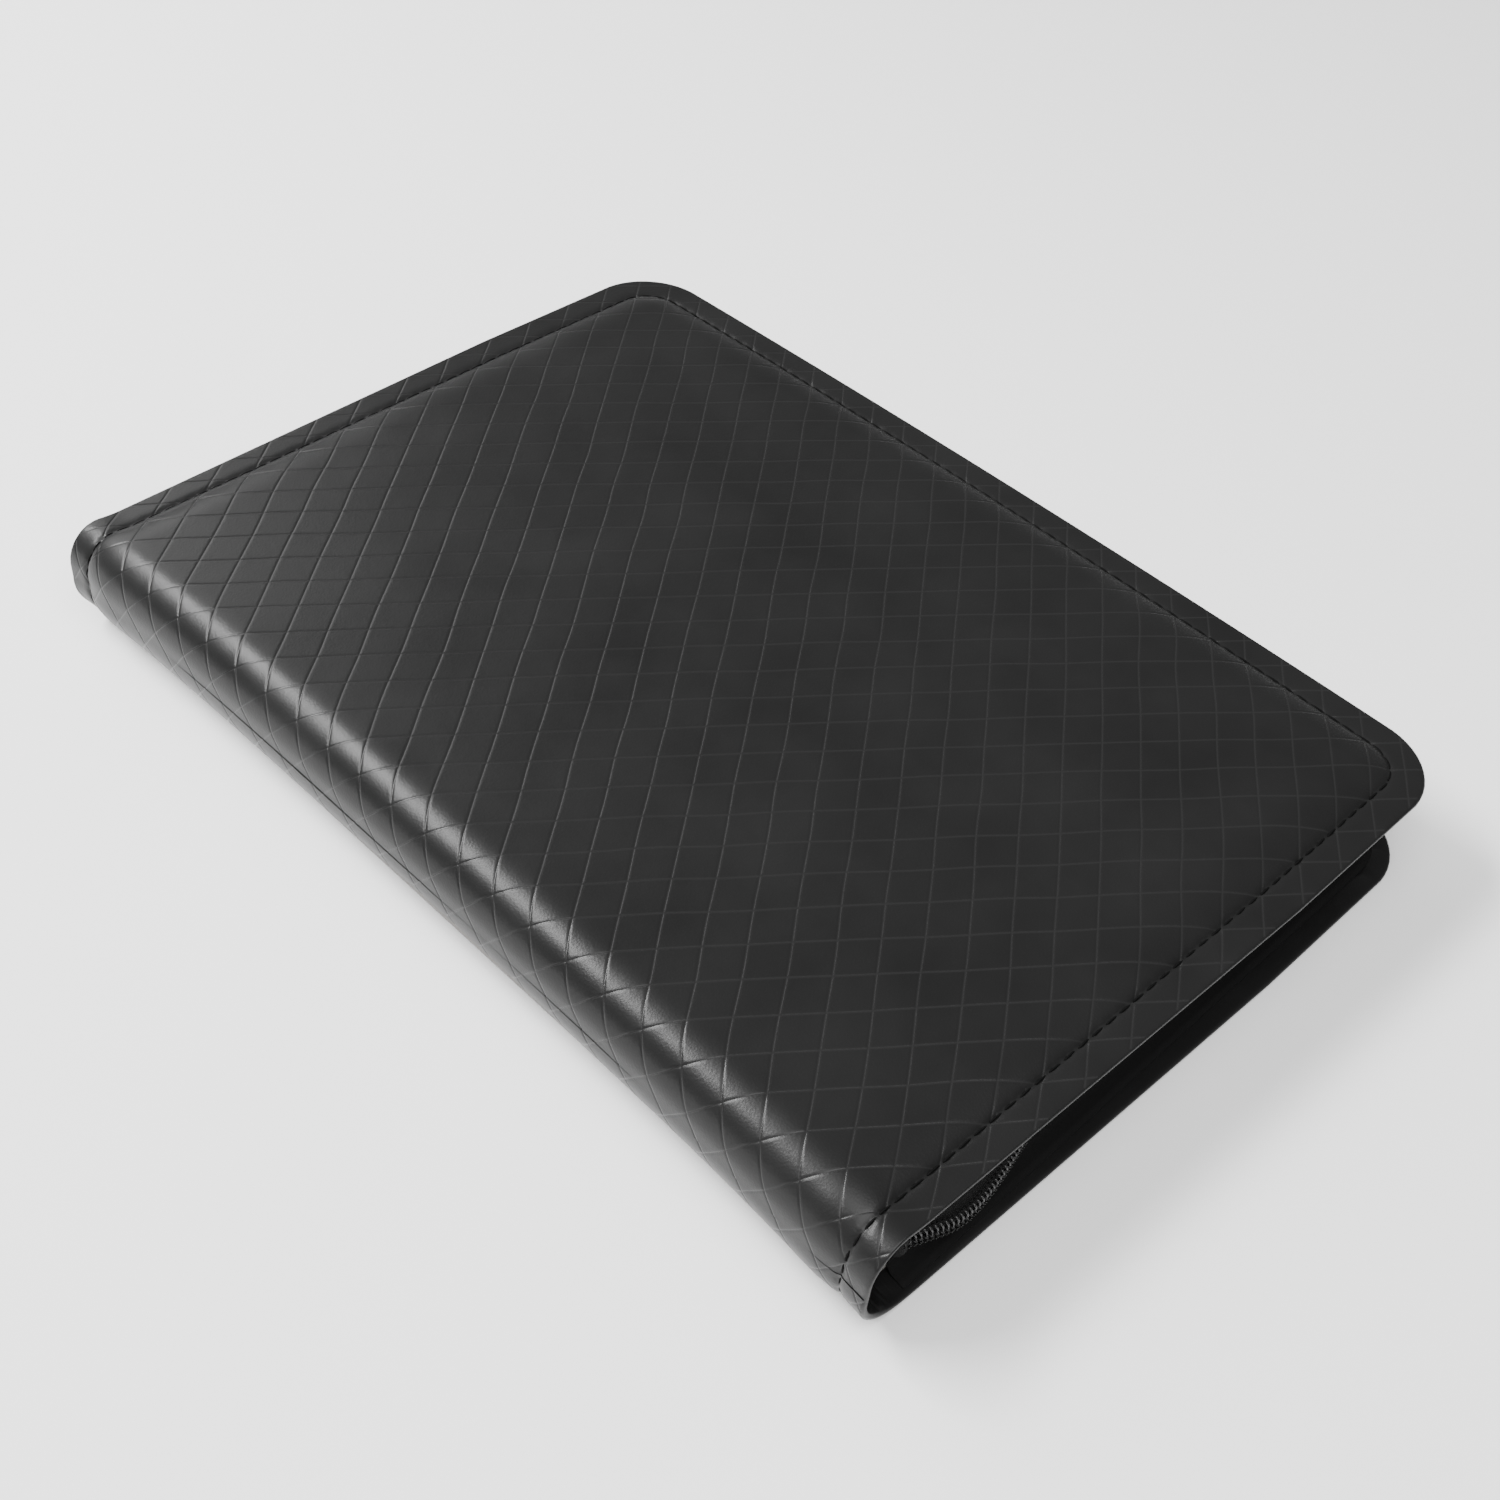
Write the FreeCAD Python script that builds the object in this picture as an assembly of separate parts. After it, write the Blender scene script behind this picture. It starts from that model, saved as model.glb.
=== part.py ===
import FreeCAD, Part

import math
import os

# Zip-around trading card binder, closed and lying on its back cover.
# Origin: middle of the underside. +X runs from the spine to the fore edge,
# +Y runs along the spine, +Z is up through the thickness. Millimetres.

# ---- driving dimensions ----
WIDTH = 236.0            # spine to fore edge
LENGTH = 332.0           # along the spine
THICKNESS = 36.0         # over both padded covers
CORNER_RADIUS = 22.0     # fore corners, the spine corners are square
SPINE_RADIUS = 12.0      # outer round-over between a cover and the spine

HEM = 10.0               # cover edge to the stitch row
CROWN = 2.5              # height of the padding above the hem
SLOPE_START = 11.0       # inset where the padding starts to rise
SLOPE_END = 25.0         # inset where it reaches its full height
LEATHER = 0.8
HEM_LEATHER = 1.6        # the turned-in edge doubles the leather
BOARD = 2.0
LINING = 0.6
BOARD_INSET = 12.2       # boards and linings stop inside the zip tape
THREAD = 0.3             # how far a stitch stands above the leather
THREAD_WIDTH = 0.6
MIN_CORNER = 6.0         # smallest corner radius of an inset outline

HINGE_GAP = 0.3          # half of the gap where the leather is parted for the fold
TURN_IN_LENGTH = 13.0    # leather folded inside the spine's two ends

TAPE = 0.6
TAPE_FLANGE_INSET = 5.0  # outer border of the sewn tape
TAPE_WALL_INSET = 11.4   # outer face of the upright tape
COIL_HEIGHT = 2.4        # one coil, across the chain
COIL_DEPTH = 2.4         # through the tape
COIL_GAP = 0.8           # slot between the coils for the slider's neck
ZIP_START = 19.0         # from the spine to where both tapes start
TAIL_LENGTH = 30.4       # the chain's closed tail
TAIL_SPLIT = 2.2         # parting between the tail and the rest of the chain
END_TAB_LENGTH = 5.0
END_TAB_THICKNESS = 2.2
END_TAB_CLEARANCE = 0.1

PAGE_COUNT = 20
PAGE_PITCH = 1.1
PAGE_FORE_GAP = 20.0      # from the pages' edge to the fore edge
PAGE_LENGTH = 286.0
FILM = 0.2               # hinge film and page core
POCKET_THICKNESS = 0.5
POCKET_WIDTH = 64.6
POCKET_LENGTH = 91.0
POCKET_GAP = 1.4
POCKETS_ACROSS = 3
POCKET_START = 19.0      # from the spine to the first pocket
PAGE_ROOT = 5.6          # from the spine to the fold line of the outermost pages
PAGE_ROOT_RISE = 0.75    # each fold line stands this much further out
PAGE_HINGE_GAP = 0.25
STRIP_THICKNESS = 1.2
STRIP_HEIGHT = 23.0
SPINE_LINING_HEIGHT = 15.0

SLIDER_LENGTH = 12.0
SLIDER_START = 36.0      # from the spine to the parked slider
SLIDER_HEIGHT = 9.2
SLIDER_PLATE = 1.0
SLIDER_CLEARANCE = 0.3
SLIDER_FLANGE = 1.0
NECK_THICKNESS = 0.4
NECK_LENGTH = 3.0
BRIDGE_LENGTH = 7.0
BRIDGE_WIDTH = 2.4
BRIDGE_HEIGHT = 3.2
BRIDGE_WALL = 1.0
PIN_RADIUS = 0.6
TAB_LENGTH = 30.0
TAB_WIDTH = 7.0
TAB_THICKNESS = 1.2
TAB_ARM = 1.0
TAB_ARM_LENGTH = 6.5
TAB_HOLE_LENGTH = 8.0
TAB_HOLE_WIDTH = 3.0
TAB_TIP_RADIUS = 3.0
BRIDGE_CLEARANCE = 0.3

# ---- derived places ----
SPINE_X = -WIDTH / 2
FORE_X = WIDTH / 2
ZIP_START_X = SPINE_X + ZIP_START
TAIL_END_X = ZIP_START_X + TAIL_LENGTH
SLIDER_START_X = SPINE_X + SLIDER_START
PAGE_FORE_X = FORE_X - PAGE_FORE_GAP
POCKET_ZONE_X = SPINE_X + POCKET_START
PAGE_ROOT_X = SPINE_X + PAGE_ROOT
ARC_X = SPINE_X + SPINE_RADIUS               # round-over centres, and where the covers turn flat
MID_Z = THICKNESS / 2
HEM_UNDER = CROWN + HEM_LEATHER              # inner face of the back cover's hem
BOARD_Z = CROWN + LEATHER
LINING_Z = BOARD_Z + BOARD
COVER_TOP = LINING_Z + LINING
TAPE_WALL_Y = LENGTH / 2 - TAPE_WALL_INSET - TAPE / 2
BOARD_X = ARC_X + 1.4
SPINE_BOARD_X = SPINE_X + LEATHER
SPINE_LINING_X = SPINE_BOARD_X + BOARD
STRIP_X = SPINE_LINING_X + LINING
FAR_BEYOND = WIDTH                           # longer than any cut needs
Y_AXIS = FreeCAD.Vector(0, 1, 0)
Z_AXIS = FreeCAD.Vector(0, 0, 1)


def box(x0, x1, y0, y1, z0, z1):
    return Part.makeBox(x1 - x0, y1 - y0, z1 - z0, FreeCAD.Vector(x0, y0, z0))


def mirrored(shape):
    """The same piece on the other cover: reflected in the middle plane."""
    return shape.mirror(FreeCAD.Vector(0, 0, MID_Z), Z_AXIS)


def outline(inset, x_left, z):
    """Closed wire of the cover's outline, moved in by inset; square at the spine side."""
    right = FORE_X - inset
    half = LENGTH / 2 - inset
    r = max(CORNER_RADIUS - inset, MIN_CORNER)
    s = r * math.sqrt(0.5)
    near = [FreeCAD.Vector(right - r, -half, z),
            FreeCAD.Vector(right - r + s, -half + r - s, z),
            FreeCAD.Vector(right, -half + r, z)]
    far = [FreeCAD.Vector(right, half - r, z),
           FreeCAD.Vector(right - r + s, half - r + s, z),
           FreeCAD.Vector(right - r, half, z)]
    near_left = FreeCAD.Vector(x_left, -half, z)
    far_left = FreeCAD.Vector(x_left, half, z)
    return Part.Wire([
        Part.LineSegment(near_left, near[0]).toShape(),
        Part.Arc(*near).toShape(),
        Part.LineSegment(near[2], far[0]).toShape(),
        Part.Arc(*far).toShape(),
        Part.LineSegment(far[2], far_left).toShape(),
        Part.LineSegment(far_left, near_left).toShape(),
    ])


def slab(inset, x_left, z0, z1):
    """Plate of the cover's outline between two heights."""
    return Part.Face(outline(inset, x_left, z0)).extrude(FreeCAD.Vector(0, 0, z1 - z0))


def u_band(inset_outer, inset_inner, x_left, z0, z1):
    """Band that follows the three open edges, open at the spine side."""
    return slab(inset_outer, x_left, z0, z1).cut(slab(inset_inner, x_left - FAR_BEYOND, z0, z1))


def frustum(inset_low, inset_high, x_left, z_low, z_high):
    """Padding that rises from one outline to a smaller one."""
    return Part.makeLoft([outline(inset_low, x_left, z_low), outline(inset_high, x_left, z_high)],
                         True, True)


def arc_strip(center_z, r_outer, r_inner, start_deg, end_deg, y0, y1):
    """Sheet bent round an axis along Y at the round-over's centre. Angles run from +X to +Z."""
    def at(radius, degrees):
        a = math.radians(degrees)
        return FreeCAD.Vector(ARC_X + radius * math.cos(a), y0, center_z + radius * math.sin(a))
    mid_deg = (start_deg + end_deg) / 2
    wire = Part.Wire([
        Part.Arc(at(r_outer, start_deg), at(r_outer, mid_deg), at(r_outer, end_deg)).toShape(),
        Part.LineSegment(at(r_outer, end_deg), at(r_inner, end_deg)).toShape(),
        Part.Arc(at(r_inner, end_deg), at(r_inner, mid_deg), at(r_inner, start_deg)).toShape(),
        Part.LineSegment(at(r_inner, start_deg), at(r_outer, start_deg)).toShape(),
    ])
    return Part.Face(wire).extrude(FreeCAD.Vector(0, y1 - y0, 0))


def parting_angle():
    """Half of the parting in the round-over, in degrees."""
    return math.degrees(HINGE_GAP / (SPINE_RADIUS - LEATHER))


# ---- covers, written for the back cover and reflected for the front one ----
def cover_leather():
    outer = slab(0.0, ARC_X, CROWN, HEM_UNDER)
    outer = outer.fuse(frustum(SLOPE_START, SLOPE_END, ARC_X, CROWN, 0.0))
    hollow = slab(BOARD_INSET, ARC_X - 1.0, BOARD_Z, HEM_UNDER)
    hollow = hollow.fuse(frustum(BOARD_INSET, SLOPE_END + 1.0, ARC_X - 1.0, BOARD_Z, LEATHER))
    skin = outer.cut(hollow)
    wrap = arc_strip(SPINE_RADIUS, SPINE_RADIUS, SPINE_RADIUS - LEATHER,
                     225.0 + parting_angle(), 270.0, -LENGTH / 2, LENGTH / 2)
    return skin.fuse(wrap).removeSplitter()


def cover_foam():
    return frustum(BOARD_INSET, SLOPE_END + 1.0, BOARD_X, BOARD_Z, LEATHER)


def cover_board():
    return slab(BOARD_INSET, BOARD_X, BOARD_Z, LINING_Z)


def cover_lining():
    return slab(BOARD_INSET, BOARD_X, LINING_Z, COVER_TOP)


def cover_stitching():
    half = THREAD_WIDTH / 2
    return u_band(HEM - half, HEM + half, ARC_X, CROWN - THREAD, CROWN)


# ---- zip ----
def zip_tape(x_start):
    """Tape sewn under the hem, turned up to the chain."""
    wall_inner = TAPE_WALL_INSET + TAPE
    coil_edge = MID_Z - COIL_GAP / 2 - COIL_HEIGHT
    flange = u_band(TAPE_FLANGE_INSET, wall_inner, x_start, HEM_UNDER, HEM_UNDER + TAPE)
    wall = u_band(TAPE_WALL_INSET, wall_inner, x_start, HEM_UNDER + TAPE, coil_edge)
    return flange.fuse(wall).removeSplitter()


def zip_coil(x_start):
    middle = TAPE_WALL_INSET + TAPE / 2
    top = MID_Z - COIL_GAP / 2
    return u_band(middle - COIL_DEPTH / 2, middle + COIL_DEPTH / 2, x_start, top - COIL_HEIGHT, top)


def far_side(shape, x_end, keep_tail):
    """Part the far run of a tape or coil at the closed tail."""
    split_0 = x_end if keep_tail else x_end + TAIL_SPLIT
    tail_zone = box(SPINE_X, split_0, 0.0, LENGTH / 2, 0.0, THICKNESS)
    return shape.common(tail_zone) if keep_tail else shape.cut(tail_zone)


def tape_tail():
    """Upper half of the chain's closed tail: upright tape only, short of the front hem."""
    top = THICKNESS - HEM_UNDER - TAPE - SLIDER_CLEARANCE
    low = MID_Z + COIL_GAP / 2 + COIL_HEIGHT
    return box(ZIP_START_X, TAIL_END_X, TAPE_WALL_Y - TAPE / 2, TAPE_WALL_Y + TAPE / 2, low, top)


def coil_tail():
    return far_side(mirrored(zip_coil(ZIP_START_X)), TAIL_END_X, True)


def end_tab(side):
    """Folded tab that holds the tape ends together beside the spine."""
    y0 = LENGTH / 2 - BOARD_INSET + END_TAB_CLEARANCE
    near_y, far_y = sorted([side * y0, side * (y0 + END_TAB_THICKNESS)])
    reach = MID_Z + COIL_GAP / 2 + COIL_HEIGHT
    x_end = ZIP_START_X - SLIDER_CLEARANCE
    x_start = x_end - END_TAB_LENGTH
    return box(x_start, x_end, near_y, far_y, HEM_UNDER, reach)


# ---- spine ----
def spine_sheet(outer_inset, inner_inset, y0, y1):
    """C-shaped sheet: the wall of the spine and its half of each round-over."""
    r_outer = SPINE_RADIUS - outer_inset
    r_inner = SPINE_RADIUS - inner_inset
    gap = parting_angle()
    low = arc_strip(SPINE_RADIUS, r_outer, r_inner, 180.0, 225.0 - gap, y0, y1)
    high = arc_strip(THICKNESS - SPINE_RADIUS, r_outer, r_inner, 135.0 + gap, 180.0, y0, y1)
    wall = box(SPINE_X + outer_inset, SPINE_X + inner_inset, y0, y1,
               SPINE_RADIUS, THICKNESS - SPINE_RADIUS)
    return wall.fuse([low, high]).removeSplitter()


def spine_leather():
    return spine_sheet(0.0, LEATHER, -LENGTH / 2, LENGTH / 2)


def spine_turn_in(side):
    """Leather folded to the inside at one end of the spine."""
    edge = LENGTH / 2
    y0, y1 = sorted([side * edge, side * (edge - TURN_IN_LENGTH)])
    return spine_sheet(LEATHER, 2 * LEATHER, y0, y1)


def spine_board():
    half = LENGTH / 2 - TURN_IN_LENGTH - 1.0
    return box(SPINE_BOARD_X, SPINE_LINING_X, -half, half, SPINE_RADIUS, THICKNESS - SPINE_RADIUS)


def spine_lining():
    half = LENGTH / 2 - TURN_IN_LENGTH - 1.0
    return box(SPINE_LINING_X, STRIP_X, -half, half,
               MID_Z - SPINE_LINING_HEIGHT / 2, MID_Z + SPINE_LINING_HEIGHT / 2)


# ---- pages ----
def page_height(number):
    return MID_Z + (number - (PAGE_COUNT + 1) / 2) * PAGE_PITCH


def page_fold_x(number):
    """Fold line of a page. The middle pages fold further out, so that they stack when open."""
    return PAGE_ROOT_X + PAGE_ROOT_RISE * min(number - 1, PAGE_COUNT - number)


def binding_strip():
    """Strip welded along the root of every page, with each page's short root film."""
    half = PAGE_LENGTH / 2
    top = STRIP_X + STRIP_THICKNESS
    strip = box(STRIP_X, top, -half, half, MID_Z - STRIP_HEIGHT / 2, MID_Z + STRIP_HEIGHT / 2)
    films = []
    for number in range(1, PAGE_COUNT + 1):
        z = page_height(number)
        tip = page_fold_x(number) - PAGE_HINGE_GAP
        films.append(box(top - 0.1, tip, -half, half, z - FILM / 2, z + FILM / 2))
    return strip.fuse(films)


def page(number):
    """Core film with a grid of side-loading pockets on both faces."""
    z = page_height(number)
    half = PAGE_LENGTH / 2
    core = box(page_fold_x(number) + PAGE_HINGE_GAP, PAGE_FORE_X, -half, half,
               z - FILM / 2, z + FILM / 2)
    pockets = []
    margin = (PAGE_LENGTH - POCKETS_ACROSS * POCKET_LENGTH - (POCKETS_ACROSS - 1) * POCKET_GAP) / 2
    for column in range(POCKETS_ACROSS):
        x = POCKET_ZONE_X + column * (POCKET_WIDTH + POCKET_GAP)
        for row in range(POCKETS_ACROSS):
            y = -half + margin + row * (POCKET_LENGTH + POCKET_GAP)
            pockets.append(box(x, min(x + POCKET_WIDTH, PAGE_FORE_X), y, y + POCKET_LENGTH,
                               z - POCKET_THICKNESS / 2, z + POCKET_THICKNESS / 2))
    return core.fuse(pockets)


# ---- slider and pull tab, on the far run of the chain ----
def slider_body():
    """Two plates either side of the chain, joined by the neck that parts the coils."""
    x0 = SLIDER_START_X
    x1 = x0 + SLIDER_LENGTH
    z0 = MID_Z - SLIDER_HEIGHT / 2
    z1 = MID_Z + SLIDER_HEIGHT / 2
    inner_reach = COIL_DEPTH / 2 + SLIDER_CLEARANCE
    tape_reach = TAPE / 2 + SLIDER_CLEARANCE
    pieces = []
    for side in (-1, 1):
        plate_y = sorted([TAPE_WALL_Y + side * inner_reach,
                          TAPE_WALL_Y + side * (inner_reach + SLIDER_PLATE)])
        pieces.append(box(x0, x1, plate_y[0], plate_y[1], z0, z1))
        flange_y = sorted([TAPE_WALL_Y + side * tape_reach, TAPE_WALL_Y + side * inner_reach])
        pieces.append(box(x0, x1, flange_y[0], flange_y[1], z0, z0 + SLIDER_FLANGE))
        pieces.append(box(x0, x1, flange_y[0], flange_y[1], z1 - SLIDER_FLANGE, z1))
    neck = box(x0, x0 + NECK_LENGTH, TAPE_WALL_Y - inner_reach, TAPE_WALL_Y + inner_reach,
               MID_Z - NECK_THICKNESS / 2, MID_Z + NECK_THICKNESS / 2)
    return neck.fuse(pieces).removeSplitter()


def slider_face_y():
    return TAPE_WALL_Y + COIL_DEPTH / 2 + SLIDER_CLEARANCE + SLIDER_PLATE


def pivot_x():
    return SLIDER_START_X + SLIDER_LENGTH / 2


def pivot_y():
    return slider_face_y() + (BRIDGE_HEIGHT - BRIDGE_WALL) / 2


def slider_bridge():
    """Arch on the outer plate that carries the pull tab's pin."""
    y0 = slider_face_y()
    x0 = pivot_x() - BRIDGE_LENGTH / 2
    z0 = MID_Z - BRIDGE_WIDTH / 2
    arch = box(x0, x0 + BRIDGE_LENGTH, y0, y0 + BRIDGE_HEIGHT, z0, z0 + BRIDGE_WIDTH)
    eye = box(x0 + BRIDGE_WALL, x0 + BRIDGE_LENGTH - BRIDGE_WALL, y0, y0 + BRIDGE_HEIGHT - BRIDGE_WALL,
              z0, z0 + BRIDGE_WIDTH)
    return arch.cut(eye)


def pull_tab():
    """Pin through the bridge, two arms, and a rounded tab with a slot."""
    y = pivot_y()
    half_y = TAB_THICKNESS / 2
    arm_z = BRIDGE_WIDTH / 2 + BRIDGE_CLEARANCE
    pin = Part.makeCylinder(PIN_RADIUS, 2 * (arm_z + TAB_ARM),
                            FreeCAD.Vector(pivot_x(), y, MID_Z - arm_z - TAB_ARM), Z_AXIS)
    pieces = []
    for side in (-1, 1):
        z0, z1 = sorted([MID_Z + side * arm_z, MID_Z + side * (arm_z + TAB_ARM)])
        pieces.append(box(pivot_x() - PIN_RADIUS, pivot_x() + TAB_ARM_LENGTH, y - half_y, y + half_y,
                          z0, z1))
    x0 = pivot_x() + TAB_ARM_LENGTH - TAB_ARM
    x1 = pivot_x() + TAB_LENGTH
    plate = box(x0, x1, y - half_y, y + half_y, MID_Z - TAB_WIDTH / 2, MID_Z + TAB_WIDTH / 2)
    tip_edges = [e for e in plate.Edges
                 if abs(e.CenterOfMass.x - x1) < 0.01 and abs(e.CenterOfMass.y - y) < 0.01]
    plate = plate.makeFillet(TAB_TIP_RADIUS, tip_edges)
    hole = box(x1 - TAB_TIP_RADIUS - TAB_HOLE_LENGTH, x1 - TAB_TIP_RADIUS, y - half_y, y + half_y,
               MID_Z - TAB_HOLE_WIDTH / 2, MID_Z + TAB_HOLE_WIDTH / 2)
    return pin.fuse(pieces + [plate.cut(hole)]).removeSplitter()


def all_nodes():
    upper_tape = far_side(mirrored(zip_tape(ZIP_START_X)), TAIL_END_X, False)
    upper_coil = far_side(mirrored(zip_coil(ZIP_START_X)), TAIL_END_X, False)
    nodes = {
        "back_leather": cover_leather(),
        "back_foam": cover_foam(),
        "back_board": cover_board(),
        "back_lining": cover_lining(),
        "back_stitching": cover_stitching(),
        "lower_zip_tape": zip_tape(ZIP_START_X),
        "lower_zip_coil": zip_coil(ZIP_START_X),
        "upper_tape_tail": tape_tail(),
        "upper_coil_tail": coil_tail(),
        "near_end_tab": end_tab(-1),
        "far_end_tab": end_tab(1),
        "spine_leather": spine_leather(),
        "spine_turn_in_near": spine_turn_in(-1),
        "spine_turn_in_far": spine_turn_in(1),
        "spine_board": spine_board(),
        "spine_lining": spine_lining(),
        "binding_strip": binding_strip(),
        "front_leather": mirrored(cover_leather()),
        "front_foam": mirrored(cover_foam()),
        "front_board": mirrored(cover_board()),
        "front_lining": mirrored(cover_lining()),
        "front_stitching": mirrored(cover_stitching()),
        "upper_zip_tape": upper_tape,
        "upper_zip_coil": upper_coil,
        "slider_body": slider_body(),
        "slider_bridge": slider_bridge(),
        "pull_tab": pull_tab(),
    }
    for number in range(1, PAGE_COUNT + 1):
        nodes["page_%02d" % number] = page(number)
    return nodes


os.makedirs("parts", exist_ok=True)
for name, shape in all_nodes().items():
    shape.exportStep("parts/%s.step" % name)
    box_of = shape.BoundBox
    print("%-20s solids %d valid %s volume %10.1f  x %7.2f %7.2f  y %7.2f %7.2f  z %6.2f %6.2f" % (
        name, len(shape.Solids), shape.isValid(), shape.Volume,
        box_of.XMin, box_of.XMax, box_of.YMin, box_of.YMax, box_of.ZMin, box_of.ZMax))
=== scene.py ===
import math
import random

import bmesh
import bpy
import numpy as np
from mathutils import Euler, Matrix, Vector, noise


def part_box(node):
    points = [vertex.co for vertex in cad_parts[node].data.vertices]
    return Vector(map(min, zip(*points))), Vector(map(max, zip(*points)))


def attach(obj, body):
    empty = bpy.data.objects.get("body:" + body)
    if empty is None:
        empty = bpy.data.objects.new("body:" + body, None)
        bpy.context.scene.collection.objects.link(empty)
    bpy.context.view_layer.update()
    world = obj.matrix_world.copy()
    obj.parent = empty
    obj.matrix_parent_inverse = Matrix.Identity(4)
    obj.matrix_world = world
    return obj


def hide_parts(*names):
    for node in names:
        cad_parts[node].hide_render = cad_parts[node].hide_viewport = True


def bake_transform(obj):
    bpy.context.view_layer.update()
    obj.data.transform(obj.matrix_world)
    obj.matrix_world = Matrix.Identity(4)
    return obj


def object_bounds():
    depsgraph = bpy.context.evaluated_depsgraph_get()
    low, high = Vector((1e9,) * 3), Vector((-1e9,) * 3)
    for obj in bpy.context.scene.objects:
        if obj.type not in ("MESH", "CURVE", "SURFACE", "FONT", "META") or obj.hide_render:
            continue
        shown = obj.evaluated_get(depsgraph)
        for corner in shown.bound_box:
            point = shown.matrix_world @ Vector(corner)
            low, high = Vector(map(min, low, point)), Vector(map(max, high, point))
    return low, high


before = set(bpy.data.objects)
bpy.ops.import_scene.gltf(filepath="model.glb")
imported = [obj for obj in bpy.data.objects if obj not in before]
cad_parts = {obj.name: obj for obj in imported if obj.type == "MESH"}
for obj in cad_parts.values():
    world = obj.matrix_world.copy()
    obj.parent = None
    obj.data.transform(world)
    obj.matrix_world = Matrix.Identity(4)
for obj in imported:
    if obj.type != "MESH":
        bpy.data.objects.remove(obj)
cad_low, cad_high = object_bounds()
random.seed(11)

MM = 0.001

# ---- places read from the frame ----
SPINE_X = cad_low.x
FORE_X = cad_high.x
HALF_Y = cad_high.y
THICK = cad_high.z
MID_Z = THICK / 2
STITCH_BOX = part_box("front_stitching")
HEM = HALF_Y - STITCH_BOX[1].y + 0.3 * MM      # cover edge to the stitch row
BOARD_INSET = HALF_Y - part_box("back_lining")[1].y
LINING_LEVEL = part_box("back_lining")[1].z      # inner face of the back cover
BOARD_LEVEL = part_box("back_lining")[0].z
STRIP_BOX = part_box("binding_strip")
TAIL_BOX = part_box("upper_coil_tail")
HINGE_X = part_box("front_stitching")[0].x       # where the covers turn into the spine
TAPE_WALL = HALF_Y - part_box("upper_tape_tail")[1].y + 0.3 * MM
CHAIN_START_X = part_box("lower_zip_tape")[0].x

# ---- cover shape ----
CORNER = 22 * MM             # fore corners
CROWN = 2.5 * MM             # padding above the hem
CROWN_BACK = 0.7 * MM        # the same under the binder, pressed flat by its weight
SPINE_CROWN = 1.2 * MM       # the same at the spine's two ends
SLOPE_END = 24 * MM          # inset where the padding is at full height
EDGE = 0.8 * MM              # radius of the turned edge
ROUND_FRONT = 13.4 * MM      # round-over between the spine and the front cover
ROUND_BACK = 18 * MM         # the slacker one at the back cover
SPINE_FLARE = 3.6 * MM       # the spine's two ends stand out further than its middle
FORE_BOW = 2.9 * MM          # the fore edge bows out in the middle
END_TUCK = 4.6 * MM          # the covers' ends draw in beside the spine
FOOT_FLARE = 2.0 * MM        # and the foot of the spine flares more at its two ends
SPLIT_Z = 19.0 * MM          # height where the two skins meet on the spine

# ---- embossed diamonds ----
DIAMOND_X = 17.676 * MM       # diagonal across the cover
DIAMOND_Y = 13.743 * MM      # diagonal along the spine
PATTERN_X = -141.3 * MM      # a crossing of two lines
PATTERN_Y = -129.04 * MM
LINE_DEPTH = 0.12 * MM
LINE_HALF = 0.21 * MM
LINE_WANDER = 0.28 * MM
LINE_PITCH = DIAMOND_X * DIAMOND_Y / math.hypot(DIAMOND_X, DIAMOND_Y)

STITCH_PITCH = 5.3 * MM
STITCH_LENGTH = 4.1 * MM
THREAD_RADIUS = 0.3 * MM
RIB_PITCH = 2.3 * MM         # puckers of the leather turned in round the spine

CHAIN_BOW = 6.8 * MM         # how far the chain's near end bows out of the gap
CHAIN_BOW_X = -81 * MM       # where it bows most, and how fast that fades to either side
CHAIN_BOW_FORE = 26 * MM
CHAIN_BOW_SPINE = 17 * MM
TAIL_SPLIT = 2.2 * MM        # parting between the chain and its closed tail
PAGE_COUNT = 20
POCKET_X = SPINE_X + 19 * MM # where the first column of pockets starts
POCKET_WIDTH = 64.6 * MM
POCKET_LENGTH = 91 * MM
POCKET_GAP = 1.4 * MM

# ---- camera ----
CAMERA_LENS = 46.68
CAMERA_PLACE = Vector((-316.0, -275.9, 404.3)) * MM
CAMERA_AZIMUTH = math.radians(49.63)
CAMERA_DOWN = math.radians(44.54)
CAMERA_ROLL = math.radians(6.68)


# ================= cover surface =================
def outline_inset(x, y):
    """How far inside the cover's outline a point lies, and the outward direction there."""
    qx = np.asarray(x) - (FORE_X - CORNER)
    qy = np.abs(y) - (HALF_Y - CORNER)
    sign = np.where(np.asarray(y) < 0, -1.0, 1.0)
    corner = (qx > 0) & (qy > 0)
    reach = np.hypot(qx, qy) + 1e-12
    inset = np.where(corner, CORNER - reach, CORNER - np.maximum(qx, qy))
    nx = np.where(corner, qx / reach, np.where(qx > qy, 1.0, 0.0))
    ny = np.where(corner, qy / reach, np.where(qx > qy, 0.0, 1.0)) * sign
    return inset, nx, ny


def spine_blend(s, round_over):
    """0 on the cover, 1 on the spine."""
    start = SPINE_X + round_over
    t = np.clip((start + 6 * MM - s) / (14 * MM), 0, 1)
    return t * t * (3 - 2 * t)


def puff(inset):
    """Height of the padding, from 0 at the hem to 1 in the middle."""
    t = np.clip((inset - HEM) / (SLOPE_END - HEM), 0, 1)
    return 1 - (1 - t) ** 2.4


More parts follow.
